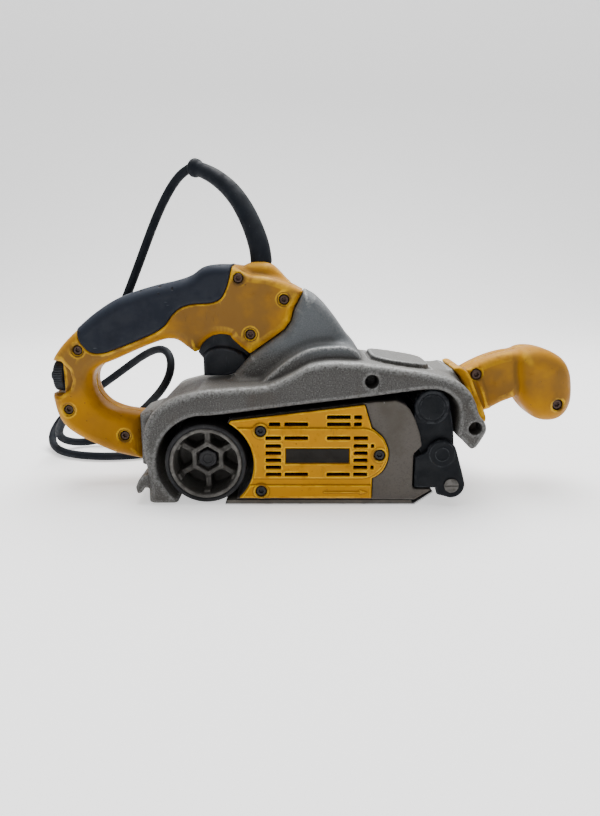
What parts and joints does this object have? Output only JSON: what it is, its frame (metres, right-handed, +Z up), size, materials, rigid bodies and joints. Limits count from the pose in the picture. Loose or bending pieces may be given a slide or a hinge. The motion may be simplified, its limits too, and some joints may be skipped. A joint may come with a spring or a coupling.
{
  "type": "handheld belt sander",
  "caption": "Handheld electric belt sander with cast housing, drive drum, retracted nose roller, vented motor cover, D-shaped rear handle with soft grip, round front knob and power lead.",
  "frame": {"origin": "middle of the tool's own box, without its free lead, on the surface that the platen stands on", "axes": "+X towards the front knob, +Z up, -Y the open side where the abrasive belt slides on"},
  "size_m": [0.4325, 0.2555, 0.2491],
  "materials": {
    "yellow_shell": "moulded, satin, scuffed",
    "cast_housing": "tumbled casting, worn edges",
    "inner_frame": "raw casting, stained",
    "soft_grip": "soft overmould",
    "black_plastic": "moulded, fine grain",
    "black_metal": "black coating, worn",
    "drum_hub": "cast, dull",
    "drum_tyre": "tyre, scuffed",
    "cord_rubber": "cable sheath",
    "steel": "ground",
    "screw_steel": "blackened, rusty",
    "copper_winding": "varnished winding",
    "cork": "cork sheet"
  },
  "bodies": {
    "housing": {"main_housing": "cast_housing", "inner_frame": "inner_frame", "vent_cover": "yellow_shell", "belt_cover": "black_plastic", "drum_bearing_1": "steel", "drum_bearing_2": "steel", "motor_field": "black_metal", "motor_bearing_1": "steel", "motor_bearing_2": "steel", "brush_holder_1": "copper_winding", "brush_holder_2": "copper_winding", "toothed_belt": "cord_rubber", "platen_pad": "cork", "platen_sheet": "steel", "dust_port": "black_plastic", "handle_shell_right": "yellow_shell", "grip_right": "soft_grip", "handle_shell_left": "yellow_shell", "grip_left": "soft_grip", "trigger_pin": "steel", "switch_body": "black_plastic", "speed_module": "black_plastic", "front_handle_right": "yellow_shell", "front_handle_left": "yellow_shell", "cord_guard": "cord_rubber", "power_cord": "cord_rubber", "cord_coil": "cord_rubber", "plug": "cord_rubber", "vent_cover_screw_1": "screw_steel", "vent_cover_screw_2": "screw_steel", "vent_cover_screw_3": "screw_steel", "handle_screw_1": "screw_steel", "handle_screw_2": "screw_steel", "handle_screw_3": "screw_steel", "handle_screw_4": "screw_steel", "handle_screw_5": "screw_steel", "handle_screw_6": "screw_steel", "front_handle_screw_1": "screw_steel", "front_handle_screw_2": "screw_steel"},
    "drum": {"drive_drum": "drum_hub", "drum_tyre": "drum_tyre", "drum_shaft": "steel", "drum_bolt": "screw_steel", "drum_pulley": "black_metal"},
    "armature": {"armature": "copper_winding", "cooling_fan": "black_plastic", "motor_pulley": "black_metal"},
    "arm": {"roller_arm": "black_metal", "upper_roller_axle": "steel", "pivot_pin": "screw_steel"},
    "upper_roller": {"upper_roller": "steel"},
    "nose": {"nose_bracket": "black_metal", "nose_roller_axle": "steel"},
    "nose_roller": {"nose_roller": "steel"},
    "tension_lever": {"tension_lever": "black_plastic"},
    "tracking_knob": {"tracking_knob": "black_plastic"},
    "trigger": {"trigger": "black_plastic"},
    "lock_button": {"lock_button": "black_plastic"},
    "speed_dial": {"speed_dial": "black_plastic"}
  },
  "joints": [
    {"name": "drum_spin", "type": "hinge", "parent": "housing", "child": "drum", "pos_m": [-0.0768, -0.018, 0.0312], "axis": [0, 1, 0], "continuous": true},
    {"name": "armature_spin", "type": "hinge", "parent": "housing", "child": "armature", "pos_m": [0.004, 0, 0.0375], "axis": [0, 1, 0], "continuous": true},
    {"name": "arm_tracking", "type": "hinge", "parent": "housing", "child": "arm", "pos_m": [0.0846, 0.022, 0.0719], "axis": [1, 0, 0], "range_deg": [-0.5, 0.5]},
    {"name": "upper_roller_spin", "type": "hinge", "parent": "arm", "child": "upper_roller", "pos_m": [0.0846, -0.016, 0.0719], "axis": [0, 1, 0], "continuous": true},
    {"name": "nose_tension", "type": "slide", "parent": "arm", "child": "nose", "axis": [1, 0, 0], "range_m": [0, 0.006]},
    {"name": "nose_roller_spin", "type": "hinge", "parent": "nose", "child": "nose_roller", "pos_m": [0.0999, -0.0195, 0.0153], "axis": [0, 1, 0], "continuous": true},
    {"name": "tension_lever_turn", "type": "hinge", "parent": "housing", "child": "tension_lever", "pos_m": [0.062, 0.0273, 0.048], "axis": [0, -1, 0], "range_deg": [-1, 70]},
    {"name": "tracking_knob_turn", "type": "hinge", "parent": "housing", "child": "tracking_knob", "pos_m": [0.092, 0.03, 0.052], "axis": [0, 1, 0], "range_deg": [-110, 110]},
    {"name": "trigger_pull", "type": "hinge", "parent": "housing", "child": "trigger", "pos_m": [-0.048, 0, 0.111], "axis": [0, 1, 0], "range_deg": [0, 7], "stiffness_Nm_per_rad": 2, "springref_deg": -6.88},
    {"name": "lock_button_press", "type": "slide", "parent": "housing", "child": "lock_button", "axis": [0, -1, 0], "range_m": [0, 0.002], "stiffness_N_per_m": 600, "springref_m": -0.001},
    {"name": "speed_dial_turn", "type": "hinge", "parent": "housing", "child": "speed_dial", "pos_m": [-0.1984, 0, 0.0856], "axis": [1, 0, 0], "range_deg": [-135, 135]}
  ],
  "couplings": [
    {"joint": "armature_spin", "follows": "drum_spin", "ratio": 4.7143},
    {"joint": "tension_lever_turn", "follows": "nose_tension", "rad_per_m": 190},
    {"joint": "tracking_knob_turn", "follows": "arm_tracking", "ratio": 200}
  ]
}
